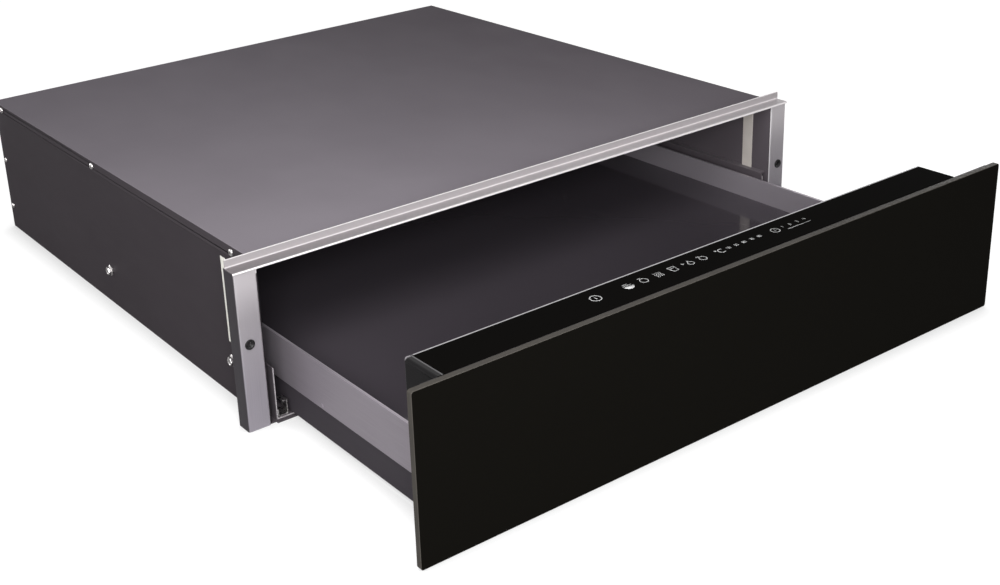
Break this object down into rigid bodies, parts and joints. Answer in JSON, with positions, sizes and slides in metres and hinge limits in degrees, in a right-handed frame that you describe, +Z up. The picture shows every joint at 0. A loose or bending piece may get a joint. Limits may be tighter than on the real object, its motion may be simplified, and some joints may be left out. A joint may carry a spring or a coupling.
{
  "type": "built-in warming drawer",
  "caption": "Built-in warming drawer: steel case with front frame, glass front with a touch strip along its top edge, heated glass-floored tray on ball runners, push latch.",
  "frame": {"origin": "centre of the underside of the case, half way across and half way back", "axes": "+X to the right seen from the front, +Y from the front to the back, +Z up"},
  "size_m": [0.597, 0.783, 0.141],
  "materials": {
    "dark_steel": "satin",
    "grey_steel": "satin",
    "cover_steel": "satin",
    "frame_steel": "satin",
    "black_plastic": "matte",
    "cream_plastic": "satin",
    "zinc_steel": "satin",
    "runner_steel": "satin",
    "cage_plastic": "satin",
    "pan_steel": "satin",
    "floor_glass": "gloss",
    "seal_rubber": "matte",
    "band_steel": "satin",
    "reflector_aluminium": "satin",
    "mineral_mat": "matte",
    "white_ceramic": "satin",
    "front_glass": "gloss",
    "housing_plastic": "gloss",
    "strip_glass": "gloss",
    "bright_trim": "polished",
    "circuit_board": "satin",
    "fan_sheet": "satin",
    "motor_steel": "satin",
    "fan_plastic": "satin",
    "terminal_plastic": "satin"
  },
  "bodies": {
    "case": {"base_pan": "dark_steel", "side_panel_left": "dark_steel", "side_panel_right": "dark_steel", "rear_panel": "dark_steel", "top_cover": "cover_steel", "front_crossbar": "dark_steel", "top_rail": "frame_steel", "post_left": "frame_steel", "post_right": "frame_steel", "screw_bushes": "black_plastic", "slot_insert_left": "cream_plastic", "slot_insert_right": "cream_plastic", "cover_screws": "zinc_steel", "side_bolts": "zinc_steel", "rear_screws": "zinc_steel", "runner_bracket_left": "dark_steel", "runner_bracket_right": "dark_steel", "cabinet_runner_left": "runner_steel", "cabinet_runner_right": "runner_steel", "runner_clips": "zinc_steel", "latch_body": "cream_plastic", "terminal_cover": "terminal_plastic", "terminal_block": "terminal_plastic", "cable_gland": "black_plastic"},
    "drawer": {"drawer_runner_left": "runner_steel", "drawer_runner_right": "runner_steel", "drawer_pan": "pan_steel", "side_skirt_left": "pan_steel", "side_skirt_right": "pan_steel", "drawer_side_left": "grey_steel", "drawer_side_right": "grey_steel", "drawer_back": "grey_steel", "glass_floor": "floor_glass", "floor_seal": "seal_rubber", "heating_element": "band_steel", "heat_reflector": "reflector_aluminium", "insulation_mat": "mineral_mat", "temperature_sensor": "white_ceramic", "safety_thermostat": "white_ceramic", "pan_rivets": "zinc_steel", "front_carrier": "pan_steel", "front_glass": "front_glass", "control_housing": "housing_plastic", "end_cap": "housing_plastic", "touch_glass": "strip_glass", "edge_trim": "bright_trim", "touch_board": "circuit_board", "power_board": "circuit_board", "fan_housing": "fan_sheet", "fan_motor": "motor_steel", "latch_striker": "zinc_steel"},
    "middle_left": {"middle_runner_left": "runner_steel"},
    "middle_right": {"middle_runner_right": "runner_steel"},
    "outer_cage_left": {"outer_ball_cage_left": "cage_plastic"},
    "outer_cage_right": {"outer_ball_cage_right": "cage_plastic"},
    "inner_cage_left": {"inner_ball_cage_left": "cage_plastic"},
    "inner_cage_right": {"inner_ball_cage_right": "cage_plastic"},
    "impeller": {"fan_impeller": "fan_plastic"},
    "latch_pin": {"latch_plunger": "black_plastic"}
  },
  "joints": [
    {"name": "drawer_slide", "type": "slide", "parent": "case", "child": "drawer", "axis": [0, -1, 0], "range_m": [-0.22, 0.21]},
    {"name": "middle_left_slide", "type": "slide", "parent": "case", "child": "middle_left", "axis": [0, -1, 0], "range_m": [-0.11, 0.105]},
    {"name": "middle_right_slide", "type": "slide", "parent": "case", "child": "middle_right", "axis": [0, -1, 0], "range_m": [-0.11, 0.105]},
    {"name": "outer_cage_left_slide", "type": "slide", "parent": "case", "child": "outer_cage_left", "axis": [0, -1, 0], "range_m": [-0.055, 0.0525]},
    {"name": "outer_cage_right_slide", "type": "slide", "parent": "case", "child": "outer_cage_right", "axis": [0, -1, 0], "range_m": [-0.055, 0.0525]},
    {"name": "inner_cage_left_slide", "type": "slide", "parent": "case", "child": "inner_cage_left", "axis": [0, -1, 0], "range_m": [-0.165, 0.1575]},
    {"name": "inner_cage_right_slide", "type": "slide", "parent": "case", "child": "inner_cage_right", "axis": [0, -1, 0], "range_m": [-0.165, 0.1575]},
    {"name": "impeller_spin", "type": "hinge", "parent": "drawer", "child": "impeller", "pos_m": [0, 0.014, 0.035], "axis": [0, 1, 0], "continuous": true},
    {"name": "latch_press", "type": "slide", "parent": "case", "child": "latch_pin", "axis": [0, 1, 0], "range_m": [0, 0.006], "stiffness_N_per_m": 600, "springref_m": -0.004}
  ],
  "couplings": [
    {"joint": "middle_left_slide", "follows": "drawer_slide", "ratio": 0.5},
    {"joint": "middle_right_slide", "follows": "drawer_slide", "ratio": 0.5},
    {"joint": "outer_cage_left_slide", "follows": "drawer_slide", "ratio": 0.25},
    {"joint": "outer_cage_right_slide", "follows": "drawer_slide", "ratio": 0.25},
    {"joint": "inner_cage_left_slide", "follows": "drawer_slide", "ratio": 0.75},
    {"joint": "inner_cage_right_slide", "follows": "drawer_slide", "ratio": 0.75}
  ]
}
